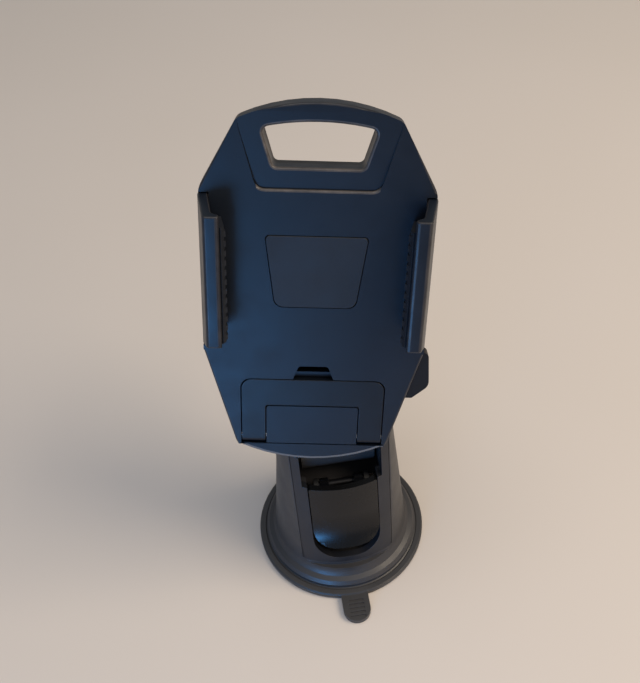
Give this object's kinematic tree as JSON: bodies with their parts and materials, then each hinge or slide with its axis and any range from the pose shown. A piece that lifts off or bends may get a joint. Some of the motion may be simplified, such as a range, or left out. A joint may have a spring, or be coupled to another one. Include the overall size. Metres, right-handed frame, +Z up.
{
  "type": "car phone mount",
  "caption": "Suction-cup car phone mount: lever-locked base, telescopic arm, ball joint, cradle with spring clamps and fold-down foot.",
  "frame": {"origin": "centre of the suction face, which lies on the surface the mount is fixed to", "axes": "+Z up out of that surface, -Y towards the front of the mount, where the phone and the suction lever face, +X to the right of someone facing the phone's screen"},
  "size_m": [0.0888, 0.1125, 0.2201],
  "materials": {
    "cup_rubber": "moulded rubber, satin",
    "gel": "soft tacky gel",
    "inner_plastic": "moulded",
    "base_plastic": "fine-textured satin",
    "front_plastic": "fine-textured satin",
    "lever_gloss": "polished",
    "knob_plastic": "fine-textured",
    "arm_plastic": "fine-textured satin",
    "cradle_plastic": "soft satin",
    "foot_plastic": "soft satin",
    "back_plastic": "fine-textured",
    "pad_rubber": "matt rubber",
    "nylon": "natural nylon",
    "pin_steel": "ground",
    "screw_steel": "zinc plated",
    "spring_steel": "drawn wire"
  },
  "bodies": {
    "base": {"suction_cup": "cup_rubber", "gel_pad": "gel", "housing_floor": "inner_plastic", "floor_screws": "screw_steel", "base_housing": "base_plastic", "front_cover": "front_plastic", "pivot_bolt": "pin_steel", "pivot_nut": "screw_steel", "pivot_caps": "base_plastic", "friction_washers": "pin_steel", "stem_spring": "spring_steel"},
    "stem": {"suction_stem": "inner_plastic", "lever_pin": "pin_steel"},
    "lever": {"suction_lever": "lever_gloss"},
    "arm": {"arm_outer": "arm_plastic", "arm_collar": "knob_plastic"},
    "lock_knob": {"arm_lock_knob": "knob_plastic"},
    "inner_arm": {"arm_inner": "arm_plastic", "ball_stud": "pin_steel"},
    "liner": {"ball_liner": "nylon"},
    "seat": {"seat_ring": "inner_plastic"},
    "cradle": {"ball_socket": "back_plastic", "socket_screws": "screw_steel", "back_shell": "back_plastic", "front_shell": "cradle_plastic", "centre_pad": "pad_rubber", "shell_screws": "screw_steel", "foot_pins": "pin_steel", "pinion_pin": "pin_steel", "pinion_spring": "spring_steel", "button_spring": "spring_steel", "pawl_pin": "pin_steel"},
    "nut": {"lock_nut": "knob_plastic"},
    "clamp_right": {"clamp_right": "cradle_plastic", "clamp_pad_right": "pad_rubber", "rack_right": "nylon"},
    "clamp_left": {"clamp_left": "cradle_plastic", "clamp_pad_left": "pad_rubber", "rack_left": "nylon"},
    "pinion": {"pinion": "nylon"},
    "button": {"release_button": "back_plastic"},
    "pawl": {"pawl": "nylon"},
    "foot": {"foot_flap": "foot_plastic"}
  },
  "joints": [
    {"name": "lever_open", "type": "hinge", "parent": "stem", "child": "lever", "pos_m": [0, -0.0136, 0.0565], "axis": [-1, 0, 0], "range_deg": [0, 80]},
    {"name": "stem_lift", "type": "slide", "parent": "base", "child": "stem", "axis": [0, 0, -1], "range_m": [0, 0.0025], "deforming": ["stem_spring"]},
    {"name": "arm_tilt", "type": "hinge", "parent": "base", "child": "arm", "pos_m": [0, 0.005, 0.066], "axis": [-1, 0, 0], "range_deg": [-45, 25]},
    {"name": "arm_extend", "type": "slide", "parent": "arm", "child": "inner_arm", "axis": [0, 0.515, 0.8572], "range_m": [0, 0.026]},
    {"name": "lock_knob_turn", "type": "hinge", "parent": "arm", "child": "lock_knob", "pos_m": [0, 0.04155, 0.0977], "axis": [0, 0.8572, -0.515], "range_deg": [0, 270]},
    {"name": "ball_yaw", "type": "hinge", "parent": "inner_arm", "child": "liner", "pos_m": [0, 0.02866, 0.14525], "axis": [0.128, 0.3276, 0.9361], "range_deg": [-15, 15]},
    {"name": "ball_tilt", "type": "hinge", "parent": "liner", "child": "seat", "pos_m": [0, 0.02866, 0.14525], "axis": [0.9851, -0.151, -0.0819], "range_deg": [-18, 6]},
    {"name": "cradle_spin", "type": "hinge", "parent": "seat", "child": "cradle", "pos_m": [0, 0.02866, 0.14525], "axis": [0.1145, 0.9327, -0.342], "continuous": true},
    {"name": "lock_nut_turn", "type": "hinge", "parent": "cradle", "child": "nut", "pos_m": [0, 0.02866, 0.14525], "axis": [0.1145, 0.9327, -0.342], "range_deg": [0, 180]},
    {"name": "clamp_open", "type": "slide", "parent": "cradle", "child": "clamp_right", "axis": [0.9851, -0.151, -0.0819], "range_m": [0, 0.013]},
    {"name": "clamp_left_open", "type": "slide", "parent": "cradle", "child": "clamp_left", "axis": [-0.9851, 0.151, 0.0819], "range_m": [0, 0.013]},
    {"name": "pinion_turn", "type": "hinge", "parent": "cradle", "child": "pinion", "pos_m": [-0.0015, 0.00927, 0.16292], "axis": [0.1145, 0.9327, -0.342], "range_deg": [0, 149]},
    {"name": "button_press", "type": "slide", "parent": "cradle", "child": "button", "axis": [-0.9851, 0.151, 0.0819], "range_m": [0, 0.0025], "stiffness_N_per_m": 400, "deforming": ["button_spring"]},
    {"name": "pawl_swing", "type": "hinge", "parent": "cradle", "child": "pawl", "pos_m": [0.01132, -0.00068, 0.14008], "axis": [0.1145, 0.9327, -0.342], "range_deg": [0, 7]},
    {"name": "foot_fold", "type": "hinge", "parent": "cradle", "child": "foot", "pos_m": [-0.01106, -0.01909, 0.10023], "axis": [0.9851, -0.151, -0.0819], "range_deg": [0, 90]}
  ],
  "couplings": [
    {"joint": "stem_lift", "follows": "lever_open", "m_per_rad": 0.0017905},
    {"joint": "clamp_left_open", "follows": "clamp_open", "ratio": 1},
    {"joint": "pinion_turn", "follows": "clamp_open", "rad_per_m": 200},
    {"joint": "pawl_swing", "follows": "button_press", "rad_per_m": 45.455}
  ]
}
